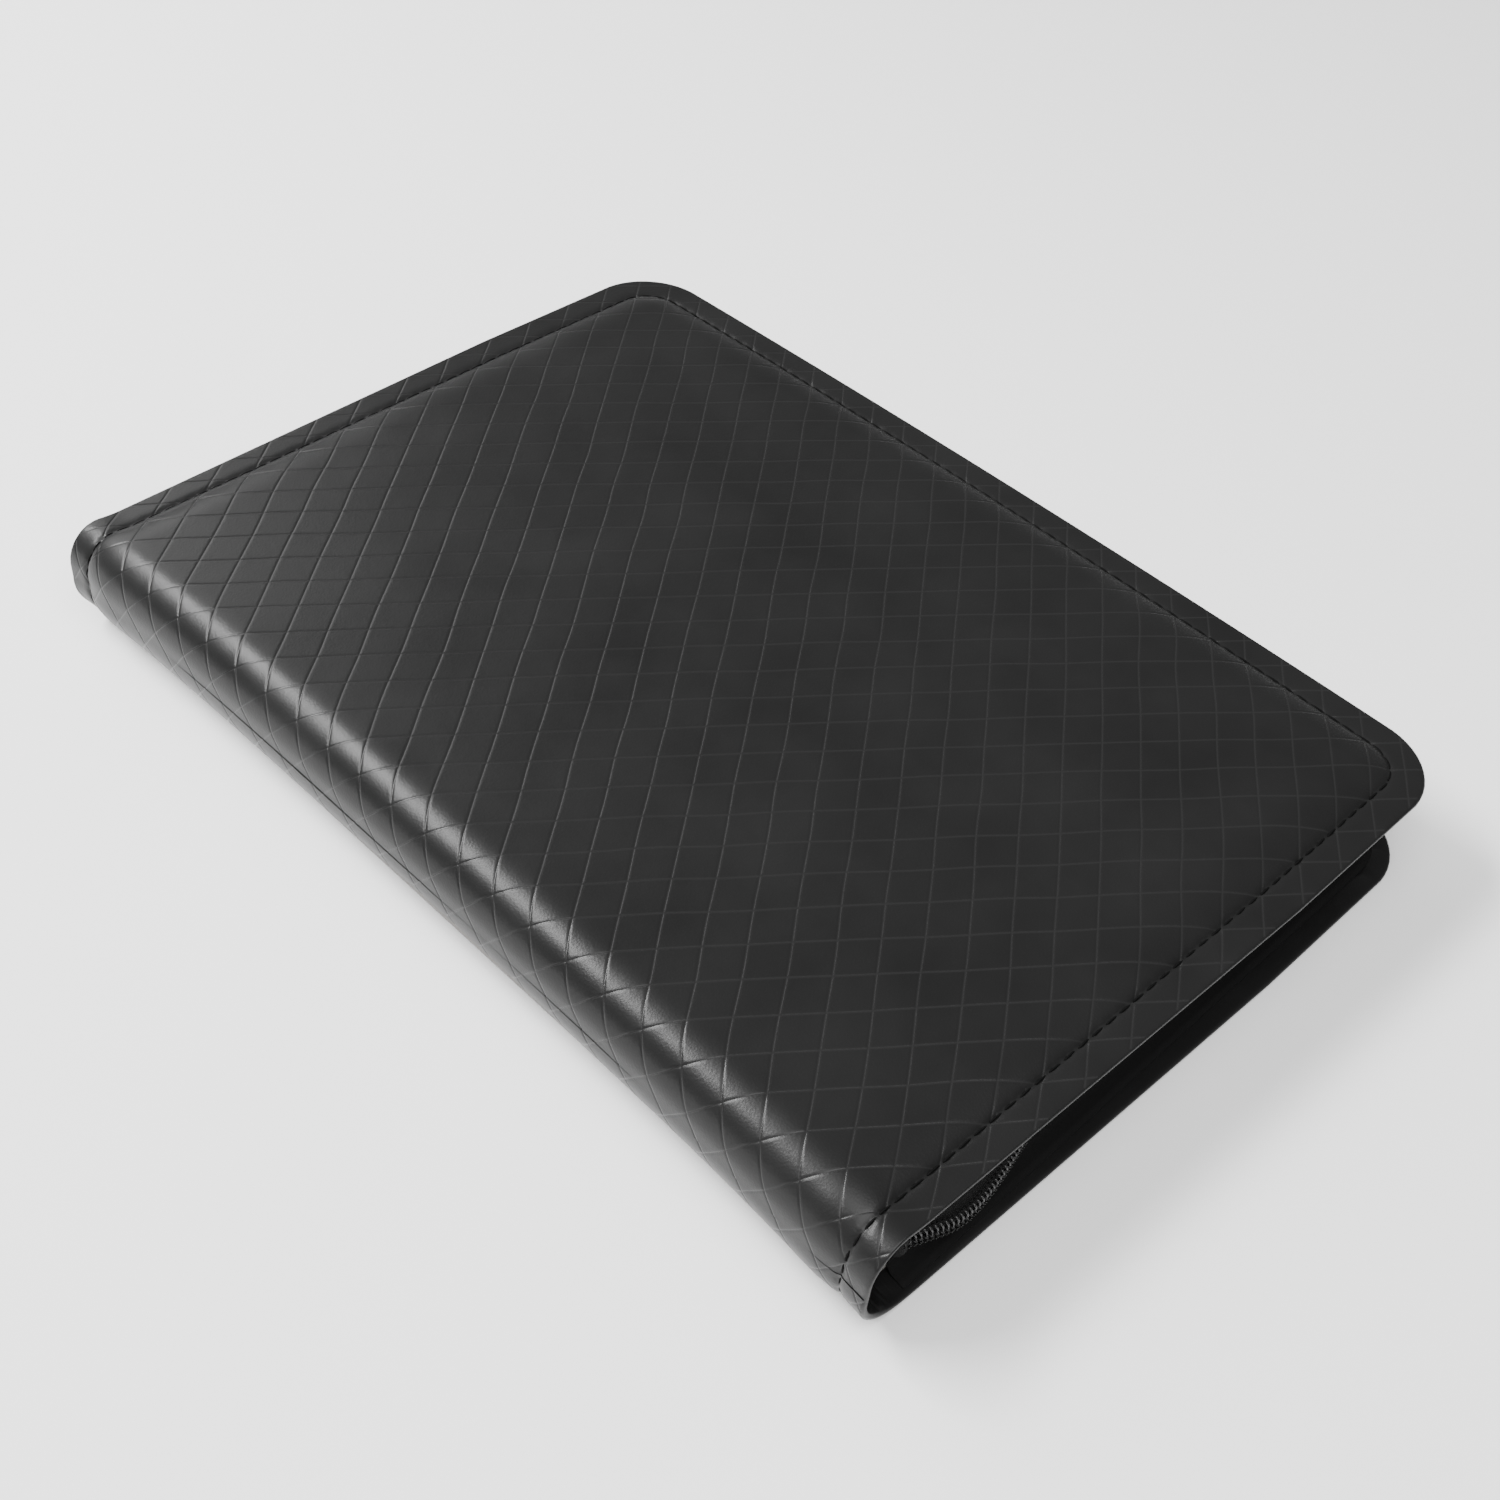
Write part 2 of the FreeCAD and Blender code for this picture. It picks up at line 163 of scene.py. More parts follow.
def settle(points, tuck=END_TUCK):
    """Shape of the made-up binder: flared spine ends, bowed fore edge, ends drawn in beside the spine."""
    points = np.array(points, float)
    x, y = points[..., 0].copy(), points[..., 1].copy()
    u = np.clip(y / HALF_Y, -1, 1)
    near_spine = np.clip((40 * MM - x) / (40 * MM - SPINE_X), 0, 1)
    foot = np.clip((MID_Z - points[..., 2]) / MID_Z, 0, 1)
    points[..., 0] += FORE_BOW * (1 - u * u) * (1 - near_spine)
    points[..., 0] -= (SPINE_FLARE * np.abs(u) ** 3 + FOOT_FLARE * u ** 6 * foot) * near_spine
    points[..., 1] -= tuck * np.sign(u) * np.abs(u) ** 8 * near_spine
    return points


def to_space(s, y, depth, back):
    """Flat leather coordinates to space. s runs across the cover and on round the spine."""
    radius = ROUND_BACK if back else ROUND_FRONT
    start = SPINE_X + radius
    inset, _, _ = outline_inset(np.maximum(s, HINGE_X), y)
    crown = CROWN_BACK if back else CROWN
    crown = crown + (SPINE_CROWN - crown) * spine_blend(s, radius)
    drop = depth + crown * (1 - puff(inset))
    bent = np.clip((start - s) / radius, 0, math.pi / 2)
    wall = np.maximum(start - s - radius * math.pi / 2, 0)
    flat = np.maximum(s, start)
    nx = -np.sin(bent)
    nz = np.cos(bent)
    x = flat - radius * np.sin(bent) - drop * nx
    z = THICK - radius * (1 - np.cos(bent)) - wall - drop * nz
    if back:
        z = THICK - z
    return settle(np.stack([x, np.asarray(y) + 0 * x, z], -1))


def flat_start(back):
    """Value of s where the two skins meet."""
    radius = ROUND_BACK if back else ROUND_FRONT
    wall = (SPLIT_Z if back else THICK - SPLIT_Z) - radius
    return SPINE_X + radius - radius * math.pi / 2 - wall


def pattern_of(s, back):
    """The embossed pattern runs on round the spine from the front cover to the back one."""
    return flat_start(False) + flat_start(True) - s if back else s


def wander(x, y):
    """Small drift of the embossed lines, the same for both skins."""
    across = np.sin(x * 131 + 2 * np.sin(y * 83 + 1)) + np.sin(y * 173 + x * 61 + 3)
    along = np.sin(y * 119 + 2 * np.sin(x * 97 + 4)) + np.sin(x * 151 - y * 47 + 5)
    return across * LINE_WANDER / 2, along * LINE_WANDER / 2


def facets(inset, steps=12):
    """Half-planes that bound the outline moved in by inset: point, normal."""
    planes = [((FORE_X - inset, 0), (1, 0)), ((0, HALF_Y - inset), (0, 1)), ((0, inset - HALF_Y), (0, -1))]
    for side in (-1, 1):
        for step in range(1, steps):
            a = math.pi / 2 * step / steps
            n = (math.cos(a), side * math.sin(a))
            reach = CORNER - inset
            planes.append(((FORE_X - CORNER + reach * n[0], side * (HALF_Y - CORNER) + reach * n[1]), n))
    return planes


def crease_samples():
    """Positions across one diamond, close together beside its embossed line."""
    near = [0.0, 0.018, 0.04, 0.085, 0.2, 0.35]
    return near + [0.5] + [1 - v for v in reversed(near[1:])]


def line_profile(t):
    """Depth share of the nearest embossed line, t in diamonds."""
    d = np.abs(t - np.round(t)) * LINE_PITCH / LINE_HALF
    return np.exp(-d * d)


def pattern_mesh(low, high):
    """Flat mesh whose edges follow the embossed diamonds, between two values of s."""
    samples = np.array(crease_samples())
    count = len(samples)
    margin = 12 * MM
    reach = int((high - low + 2 * HALF_Y) / min(DIAMOND_X, DIAMOND_Y)) + 30
    quads = []
    for i in range(-reach, reach):
        for j in range(-reach, reach):
            s = PATTERN_X + (i + j + 1) / 2 * DIAMOND_X
            y = PATTERN_Y + (i - j) / 2 * DIAMOND_Y
            if low - margin < s < high + margin and abs(y) < HALF_Y + margin:
                a, b = np.meshgrid(np.arange(count) + i * count, np.arange(count) + j * count, indexing="ij")
                a = a.ravel()
                b = b.ravel()
                corners = [(a, b), (a + 1, b), (a + 1, b + 1), (a, b + 1)]
                quads.append(np.stack([np.stack(c, -1) for c in corners], 1))
    quads = np.concatenate(quads)
    keys, index = np.unique(quads.reshape(-1, 2), axis=0, return_inverse=True)
    faces = index.reshape(-1, 4)
    fine = np.floor_divide(keys, count) + samples[np.mod(keys, count)]
    i, j = fine[:, 0], fine[:, 1]
    s = PATTERN_X + (i + j) / 2 * DIAMOND_X
    y = PATTERN_Y + (i - j) / 2 * DIAMOND_Y
    emboss = np.maximum(line_profile(i), line_profile(j))
    across, along = wander(s, y)
    return s + across, y + along, emboss, faces


def leather_skin(name, back):
    """One cover and its part of the spine, as one turned and stitched skin."""
    low, high = flat_start(back), FORE_X
    if back:
        s, y, emboss, faces = pattern_mesh(pattern_of(high, True), pattern_of(low, True))
        s = pattern_of(s, True)
    else:
        s, y, emboss, faces = pattern_mesh(low, high)
    mesh = bpy.data.meshes.new(name)
    mesh.from_pydata(np.stack([s, y, emboss * LINE_DEPTH], -1).tolist(), [], faces.tolist())
    bm = bmesh.new()
    bm.from_mesh(mesh)
    for point, normal in facets(EDGE) + [((low, 0), (-1, 0))]:
        trim(bm, point, normal)
    for inset in (HEM - 0.8 * MM, HEM, HEM + 0.9 * MM):
        score(bm, inset)
    roll_edge(bm)
    bmesh.ops.dissolve_degenerate(bm, edges=bm.edges[:], dist=2e-6)
    bm.to_mesh(mesh)
    bm.free()
    co = np.zeros(len(mesh.vertices) * 3)
    mesh.vertices.foreach_get("co", co)
    co = co.reshape(-1, 3)
    s, y, depth = co.T
    inset, _, _ = outline_inset(np.maximum(s, HINGE_X), y)
    on_top = depth < LINE_DEPTH * 1.01
    line = np.where(on_top, np.clip(depth / LINE_DEPTH, 0, 1), 0)
    depth = depth + np.where(on_top, stitch_valley(s, y, inset) + softness(s, y, back), 0)
    place = to_space(s, y, depth, back)
    mesh.vertices.foreach_set("co", place.ravel())
    attribute = mesh.attributes.new("emboss", "FLOAT", "POINT")
    attribute.data.foreach_set("value", line.astype(np.float32))
    return finish_mesh(name, mesh)


def trim(bm, point, normal):
    """Cuts the sheet along a line. A slanted line only trims a fore corner."""
    faces = bm.faces[:]
    if normal[0] * normal[1]:
        reach = CORNER + 14 * MM
        side = math.copysign(1, normal[1])
        faces = [f for f in faces if f.verts[0].co.x > FORE_X - reach]
        faces = [f for f in faces if f.verts[0].co.y * side > HALF_Y - reach]
    edges = list({e for f in faces for e in f.edges})
    verts = list({v for f in faces for v in f.verts})
    bmesh.ops.bisect_plane(bm, geom=verts + edges + faces, dist=1e-6, plane_co=(*point, 0),
                           plane_no=(*normal, 0), clear_outer=True)


def score(bm, inset):
    """Adds a row of edges along the outline moved in by inset."""
    planes = facets(inset, steps=8)
    normals = np.array([n for _, n in planes])
    bm.faces.ensure_lookup_table()
    corners = np.array([f.verts[0].co[:2] for f in bm.faces])
    at, _, _ = outline_inset(corners[:, 0], corners[:, 1])
    close = np.nonzero(np.abs(at - inset) < 4 * MM)[0]
    centres = np.array([bm.faces[int(row)].calc_center_median()[:2] for row in close])
    _, nx, ny = outline_inset(centres[:, 0], centres[:, 1])
    nearest = (normals @ np.stack([nx, ny])).argmax(0)
    groups = {}
    for row, plane in zip(close, nearest):
        groups.setdefault(int(plane), []).append(bm.faces[int(row)])
    for plane, faces in groups.items():
        point, normal = planes[plane]
        edges = list({e for f in faces for e in f.edges})
        verts = list({v for f in faces for v in f.verts})
        bmesh.ops.bisect_plane(bm, geom=verts + edges + faces, dist=1e-6, plane_co=(*point, 0),
                               plane_no=(*normal, 0))


def stitch_valley(s, y, inset):
    """The leather is drawn down along the stitch row, most where the thread enters it."""
    along = path_length(s, y)
    pull = 0.75 + 0.25 * np.cos(2 * math.pi * along / STITCH_PITCH)
    return 0.62 * MM * pull * np.exp(-((inset - HEM) / (0.9 * MM)) ** 2)


def path_length(s, y):
    """Length along the stitch row beside a point."""
    qx = s - (FORE_X - CORNER)
    qy = np.abs(y) - (HALF_Y - CORNER)
    turn = np.arctan2(np.maximum(qy, 0), np.maximum(qx, 1e-9)) * (CORNER - HEM)
    return np.where(qx > 0, np.where(qy > 0, turn, np.abs(y)), s)


def softness(s, y, back):
    """Slow dents of the padding and of the loose spine."""
    p = pattern_of(s, back)
    level = 3.0 if back else 1.0
    dent = np.sin(p * 37 + level + 1.5 * np.sin(y * 21)) * np.sin(y * 29 + level * 2 + np.sin(p * 45))
    dent = dent * 0.25 * MM
    return np.where(s < HINGE_X, np.minimum(dent, 0.1 * MM), dent * 0.4)


def roll_edge(bm):
    """Turns the edge over: a half round, then the leather folded under the hem."""
    def on_rim(v):
        inset, _, _ = outline_inset(v.co.x, v.co.y)
        return abs(float(inset) - EDGE) < 0.1 * MM
    rim = [e for e in bm.edges if e.is_boundary and on_rim(e.verts[0]) and on_rim(e.verts[1])]
    ends = [(e.link_loops[0].link_loop_next.vert, e.link_loops[0].vert) for e in rim]
    verts = list({v for pair in ends for v in pair})
    profile = [(EDGE * math.sin(a), EDGE * (1 - math.cos(a)))
               for a in (math.pi * k / 7 for k in range(1, 8))]
    profile += [(-reach * MM, 2 * EDGE) for reach in (0.9, 2.2, 3.7, 5.2, 6.7, 8.2, 9.7, 11.2)]
    normal = {}
    for v in verts:
        _, nx, ny = outline_inset(v.co.x, v.co.y)
        normal[v] = (float(nx), float(ny))
        v.co.z = max(v.co.z, 0)
    previous = {v: v for v in verts}
    for lateral, depth in profile:
        current = {}
        for v in verts:
            nx, ny = normal[v]
            x = v.co.x + nx * lateral
            y = v.co.y + ny * lateral
            ripple = fold_ripple(x, y, -lateral) if lateral < 0 else 0
            current[v] = bm.verts.new((x, y, max(depth, LINE_DEPTH * 1.05) + ripple))
        for a, b in ends:
            bm.faces.new((previous[a], previous[b], current[b], current[a]))
        previous = current


def fold_ripple(x, y, reach):
    """Puckers of the leather folded under the hem: ribs round the spine, pleats at the corners."""
    grow = min(reach / (5 * MM), 1.0)
    uneven = 0.6 + 0.8 * noise.noise(Vector((x * 260, y * 90, 2.0)))
    if x < HINGE_X + 4 * MM:
        stray = 3 * noise.noise(Vector((x * 90, y * 150, 5)))
        rib = 0.5 + 0.5 * math.cos(2 * math.pi * x / RIB_PITCH + stray)
        return grow * uneven * rib * 0.9 * MM
    qx = x - (FORE_X - CORNER)
    qy = abs(y) - (HALF_Y - CORNER)
    if qx > -4 * MM and qy > -4 * MM:
        turn = math.atan2(qy + 6 * MM, qx + 6 * MM)
        pleat = abs(math.sin(turn * 7.0 + 1.5 * noise.noise(Vector((x * 60, y * 60, 9)))))
        return -grow * 1.1 * MM * (1 - pleat) ** 1.5 * uneven
    return grow * 0.18 * MM * noise.noise(Vector((x * 120, y * 120, 4)))


def finish_mesh(name, mesh, smooth=True):
    """Makes the object, shaded smooth."""
    mesh.shade_smooth() if smooth else mesh.shade_flat()
    mesh.update()
    piece = bpy.data.objects.new(name, mesh)
    bpy.context.scene.collection.objects.link(piece)
    return piece


# ================= paths along the cover's edge =================
def edge_path(length, inset, s_start):
    """Point and outward direction on the outline moved in by inset, at a length from the spine."""
    radius = CORNER - inset
    run = (FORE_X - CORNER) - s_start
    arc = radius * math.pi / 2
    side = 2 * (HALF_Y - CORNER)
    if length < run:
        return s_start + length, -(HALF_Y - inset), 0.0, -1.0
    length -= run
    if length < arc:
        a = length / radius
        return (FORE_X - CORNER + radius * math.sin(a), -(HALF_Y - CORNER) - radius * math.cos(a),
                math.sin(a), -math.cos(a))
    length -= arc
    if length < side:
        return FORE_X - inset, -(HALF_Y - CORNER) + length, 1.0, 0.0
    length -= side
    if length < arc:
        a = length / radius
        return (FORE_X - CORNER + radius * math.cos(a), HALF_Y - CORNER + radius * math.sin(a),
                math.cos(a), math.sin(a))
    length -= arc
    return FORE_X - CORNER - length, HALF_Y - inset, 0.0, 1.0


def edge_length(inset, s_start):
    radius = CORNER - inset
    return 2 * (FORE_X - CORNER - s_start) + radius * math.pi + 2 * (HALF_Y - CORNER)


def tube_rings(centres, sides, radius):
    """Vertices and faces of a tube with closed ends through the given points."""
    centres = np.asarray(centres, float)
    radius = np.broadcast_to(radius, len(centres))
    tangent = np.gradient(centres, axis=0)
    tangent /= np.linalg.norm(tangent, axis=1)[:, None] + 1e-12
    helper = np.where(np.abs(tangent[:, 2:3]) < 0.9, [[0, 0, 1.0]], [[1.0, 0, 0]])
    a = np.cross(tangent, helper)
    a /= np.linalg.norm(a, axis=1)[:, None]
    b = np.cross(tangent, a)
    angle = np.arange(sides) * 2 * math.pi / sides
    ring = (np.cos(angle)[None, :, None] * a[:, None, :] + np.sin(angle)[None, :, None] * b[:, None, :])
    verts = (centres[:, None, :] + ring * radius[:, None, None]).reshape(-1, 3)
    faces = []
    for k in range(len(centres) - 1):
        for m in range(sides):
            n = (m + 1) % sides
            faces.append((k * sides + m, k * sides + n, (k + 1) * sides + n, (k + 1) * sides + m))
    faces.append(tuple(range(sides)))
    faces.append(tuple(range(len(verts) - 1, len(verts) - 1 - sides, -1)))
    return verts, faces


def joined(parts):
    """One list of vertices and faces from several."""
    verts, faces, base = [], [], 0
    for v, f in parts:
        verts.append(v)
        faces.extend(tuple(i + base for i in face) for face in f)
        base += len(v)
    return np.concatenate(verts), faces


def mesh_piece(name, verts, faces, smooth=True):
    mesh = bpy.data.meshes.new(name)
    mesh.from_pydata(np.asarray(verts).tolist(), [], faces)
    return finish_mesh(name, mesh, smooth=smooth)


# ================= stitches =================
def stitch_row(name, back, inner):
    """Separate stitches along the three open edges and across the spine's ends."""
    start = flat_start(back)
    total = edge_length(HEM, start)
    count = int(total / STITCH_PITCH)
    parts = []
    for k in range(count):
        middle = (k + 0.5) * STITCH_PITCH
        points = []
        skew = random.uniform(-0.12, 0.12) * MM
        for t in np.linspace(-0.5, 0.5, 9):
            s, y, _, _ = edge_path(middle + t * STITCH_LENGTH, HEM + skew * t * 2, start)
            rise = math.cos(math.pi * t) ** 0.6 if abs(t) < 0.5 else 0.0
            level = 2 * EDGE + 0.3 * MM + 0.2 * MM * rise if inner else 0.66 * MM - 0.32 * MM * rise
            points.append((s, y, level))
        verts, faces = tube_rings(points, 7, THREAD_RADIUS)
        place = to_space(verts[:, 0], verts[:, 1], verts[:, 2], back)
        parts.append((place, faces))
    return mesh_piece(name, *joined(parts))


# ================= zip =================
def chain_inset(x, y):
    """How far inside the cover's edge the chain runs. It bows outwards beside the near end of the spine."""
    if y > 0 or x > 0:
        return TAPE_WALL
    middle = CHAIN_BOW_X
    width = CHAIN_BOW_FORE if x > middle else CHAIN_BOW_SPINE
    return TAPE_WALL - CHAIN_BOW * math.exp(-((x - middle) / width) ** 2)


def chain_height(x, y):
    bow = (TAPE_WALL - chain_inset(x, y)) / CHAIN_BOW
    return MID_Z - 2.6 * MM * bow


def chain_point(length, start):
    """Point of the chain and its outward direction."""
    x, y, nx, ny = edge_path(length, TAPE_WALL, start)
    out = TAPE_WALL - chain_inset(x, y)
    return np.array([x + nx * out, y + ny * out, chain_height(x, y)]), np.array([nx, ny, 0.0])


def zip_coil(name, upper, length_0, length_1):
    """Coil of nylon filament, wound flat round the tape's edge."""
    pitch = 1.42 * MM
    filament = 0.31 * MM
    per_turn = 10
    sign = 1 if upper else -1
    turns = int((length_1 - length_0) / pitch)
    centres = []
    for k in range(turns * per_turn):
        turn = k / per_turn
        length = length_0 + (turn + (0.5 if upper else 0.0)) * pitch
        point, out = chain_point(length, CHAIN_START_X)
        a = 2 * math.pi * turn
        lateral = 0.85 * MM * math.cos(a)
        height = sign * (1.6 * MM - 1.05 * MM * math.sin(a))
        centres.append(point + out * lateral + np.array([0, 0, height]))
    return mesh_piece(name, *tube_rings(settle(centres, tuck=0), 5, filament))


def hem_under(back):
    """Depth of the hem's inner face below the cover's crown."""
    return (CROWN_BACK if back else CROWN) + 2 * EDGE


def zip_tape(name, upper, length_0, length_1, tail=False):
    """Woven tape: sewn flat under the hem, then turned up to the chain. A tail is the upright part only."""
    step = 2.0 * MM
    half = 0.28 * MM
    hem_z = hem_under(not upper) + half + 0.1 * MM
    rows = []
    count = int((length_1 - length_0) / step) + 1
    for k in range(count):
        length = length_0 + (length_1 - length_0) * k / (count - 1)
        point, _ = chain_point(length, CHAIN_START_X)
        x, y, nx, ny = edge_path(length, TAPE_WALL, CHAIN_START_X)
        inset = chain_inset(x, y)
        end = (inset, (point[2] if not upper else THICK - point[2]) - 1.0 * MM)
        profile = tape_profile(hem_z, end)[2 if tail else 0:]
        both = offset_band(profile, half)
        for depth_in, z in both:
            shift = TAPE_WALL - depth_in
            height = THICK - z if upper else z
            rows.append((x + nx * shift, y + ny * shift, height))
    width = len(rows) // count
    faces = []
    for k in range(count - 1):
        for m in range(width):
            n = (m + 1) % width
            faces.append((k * width + m, k * width + n, (k + 1) * width + n, (k + 1) * width + m))
    faces.append(tuple(range(width - 1, -1, -1)))
    faces.append(tuple(range((count - 1) * width, count * width)))
    if upper:
        faces = [tuple(reversed(f)) for f in faces]
    return mesh_piece(name, settle(rows, tuck=0), faces)


def tape_profile(hem_z, end):
    """Section of a tape as (inset, height): flat under the hem, then a soft bend up to the chain."""
    points = [(TAPE_WALL - 6.0 * MM, hem_z), (TAPE_WALL - 4.0 * MM, hem_z), (TAPE_WALL - 1.6 * MM, hem_z)]
    sag = TAPE_WALL + 0.4 * MM
    for t in (0.12, 0.25, 0.4, 0.6, 0.8, 1.0):
        bend = math.sin(math.pi * t) * 1.2 * MM * min(1.0, (TAPE_WALL - end[0]) / (6 * MM) + 0.15)
        inset = sag + (end[0] - sag) * t ** 1.5 + bend
        points.append((inset, hem_z + (end[1] - hem_z) * t))
    return points


def offset_band(profile, half):
    """Closed outline of a sheet of even thickness along a section."""
    p = np.array(profile)
    tangent = np.gradient(p, axis=0)
    tangent /= np.linalg.norm(tangent, axis=1)[:, None]
    side = np.stack([-tangent[:, 1], tangent[:, 0]], -1) * half
    return np.concatenate([p + side, (p - side)[::-1]]).tolist()


# ================= inside =================
def grid_slab(name, top, bottom, smooth=True):
    """Closed thin solid between two grids of points with the same rows and columns."""
    rows, columns, _ = top.shape
    base = rows * columns
    faces = []
    for i in range(rows - 1):
        for j in range(columns - 1):
            a = i * columns + j
            quad = (a, a + columns, a + columns + 1, a + 1)
            faces.append(quad)
            faces.append(tuple(base + k for k in reversed(quad)))
    rim = [j for j in range(columns)]
    rim += [i * columns + columns - 1 for i in range(1, rows)]
    rim += [(rows - 1) * columns + j for j in range(columns - 2, -1, -1)]
    rim += [i * columns for i in range(rows - 2, 0, -1)]
    for a, b in zip(rim, rim[1:] + rim[:1]):
        faces.append((a, b, base + b, base + a))
    verts = np.concatenate([top.reshape(-1, 3), bottom.reshape(-1, 3)])
    return mesh_piece(name, verts, faces, smooth=smooth)


def spread(low, high, count):
    return list(np.linspace(low, high, count))


def half_width(s, inset):
    """Half of the cover's length at s, inside the outline moved in by inset."""
    radius = CORNER - inset
    past = min(max(s - (FORE_X - CORNER), 0.0), radius)
    return HALF_Y - CORNER + math.sqrt(radius * radius - past * past)


def lining_sheet(name, back):
    """Fabric over the board, down its spine side to the leather, and on round the fold to the spine."""
    inset = BOARD_INSET - 0.05 * MM
    fold = HINGE_X - 1 * MM
    low = flat_start(back)
    stations = spread(low, fold - 3 * MM, 24) + spread(fold - 2 * MM, fold + 4 * MM, 9)
    stations += spread(fold + 12 * MM, FORE_X - CORNER, 18)
    corner_angles = spread(0.12, math.pi / 2 - 0.05, 10)
    stations += [FORE_X - CORNER + (CORNER - inset) * math.sin(a) for a in corner_angles]
    across = np.array([math.sin(a) for a in spread(-math.pi / 2, math.pi / 2, 41)])
    faces_at = []
    for lift in (0.0, 1.0):
        grid = []
        for s in stations:
            y = across * half_width(s, inset)
            glued = to_space(np.full(len(y), s), y, 1.9 * MM - 0.5 * MM * lift, back)
            level = LINING_LEVEL if lift else BOARD_LEVEL + 0.05 * MM
            flat = np.stack([np.full(len(y), s), y, np.full(len(y), THICK - level)], -1)
            if back:
                flat[:, 2] = level
            share = np.clip((s - fold + 2 * MM) / (5 * MM), 0, 1)
            share = share * share * (3 - 2 * share)
            edge = np.abs(across) ** 30 * 0.2 * MM * lift
            row = glued * (1 - share) + flat * share
            row[:, 2] += edge if not back else -edge
            grid.append(row)
        faces_at.append(np.array(grid))
    bottom, top = faces_at
    if back:
        return grid_slab(name, bottom[:, ::-1], top[:, ::-1])
    return grid_slab(name, bottom, top)


def binding_strip():
    """Strip along the spine that holds the roots of all the pages."""
    low, high = STRIP_BOX
    x0 = low.x
    x1 = low.x + 1.2 * MM
    ys = spread(low.y, high.y, 30)
    zs = spread(low.z, high.z, 12)
    bottom = np.array([[(x0, y, z) for z in zs] for y in ys])
    top = np.array([[(x1 - (0.4 * MM if z in (zs[0], zs[-1]) else 0), y, z) for z in zs] for y in ys])
    return grid_slab("spine_strip", bottom, top)


def pocket_stops(start, size, gap, count, low, high):
    """Positions over a row of pockets and how full the pocket is at each: 0 at a weld, 1 in the middle."""
    stops = [(low, 0.0)] if start - low > 1 * MM else []
    for k in range(count):
        first = start + k * (size + gap)
        for share in (0.0, 0.02, 0.08, 0.22, 0.5, 0.78, 0.92, 0.98, 1.0):
            at = first + share * size
            if at < high:
                stops.append((at, math.sin(math.pi * share) ** 0.35 if 0 < share < 1 else 0.0))
    stops.append((high, 0.0))
    return stops


def page_piece(number):
    """Film page: three columns of three pockets on both faces, the film raised a little in each pocket."""
    low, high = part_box("page_%02d" % number)
    z = (low.z + high.z) / 2
    root = STRIP_BOX[0].x + 1.1 * MM
    core = 0.1 * MM
    margin = ((high.y - low.y) - 3 * POCKET_LENGTH - 2 * POCKET_GAP) / 2
    xs = [(x, 0.0) for x in spread(root, POCKET_X - 1.5 * MM, 12)]
    xs += pocket_stops(POCKET_X, POCKET_WIDTH, POCKET_GAP, 3, POCKET_X, high.x)
    ys = pocket_stops(low.y + margin, POCKET_LENGTH, POCKET_GAP, 3, low.y, high.y)
    top, bottom = [], []
    for x, full_x in xs:
        row_top, row_bottom = [], []
        for y, full_y in ys:
            full = full_x * full_y
            sag = 0.06 * MM * noise.noise(Vector((x * 30, y * 30, number * 3.1)))
            rise = core + (0.19 * MM + sag) * full
            row_top.append((x, y, z + rise))
            row_bottom.append((x, y, z - rise))
        top.append(row_top)
        bottom.append(row_bottom)
    piece = grid_slab("pocket_page_%02d" % number, np.array(top), np.array(bottom))
    return piece, low.x


def end_tab(name, near):
    """Folded tape tab round the end of the chain, tucked into the spine."""
    side = -1 if near else 1
    y_end = -1.0 if near else 1.0
    first = chain_inset(CHAIN_START_X, y_end)
    turn_in = 9 * MM if near else 1.2 * MM
    half = 0.75 * MM
    path = []
    for t in spread(-0.12, 1, 10):
        x = CHAIN_START_X + 0.6 * MM - t * 7 * MM
        path.append((x, first + turn_in * max(t, 0) ** 1.6))
    outer, inner = [], []
    heights = spread(0, 1, 7)
    for x, inset in path:
        z0, z1 = MID_Z - 4.6 * MM, MID_Z + 3.2 * MM
        z0 -= 2.2 * MM if near else 0
        z1 -= 1.2 * MM if near else 0
        for column, offset in ((outer, -half), (inner, half)):
            pinch = [offset * (1 - 0.55 * abs(2 * h - 1) ** 6) for h in heights]
            row = [(x, side * (HALF_Y - inset - p), z0 + (z1 - z0) * h) for h, p in zip(heights, pinch)]
            column.append(row)
    outer, inner = settle(outer, tuck=0), settle(inner, tuck=0)
    if near:
        return grid_slab(name, inner, outer)
    return grid_slab(name, outer, inner)



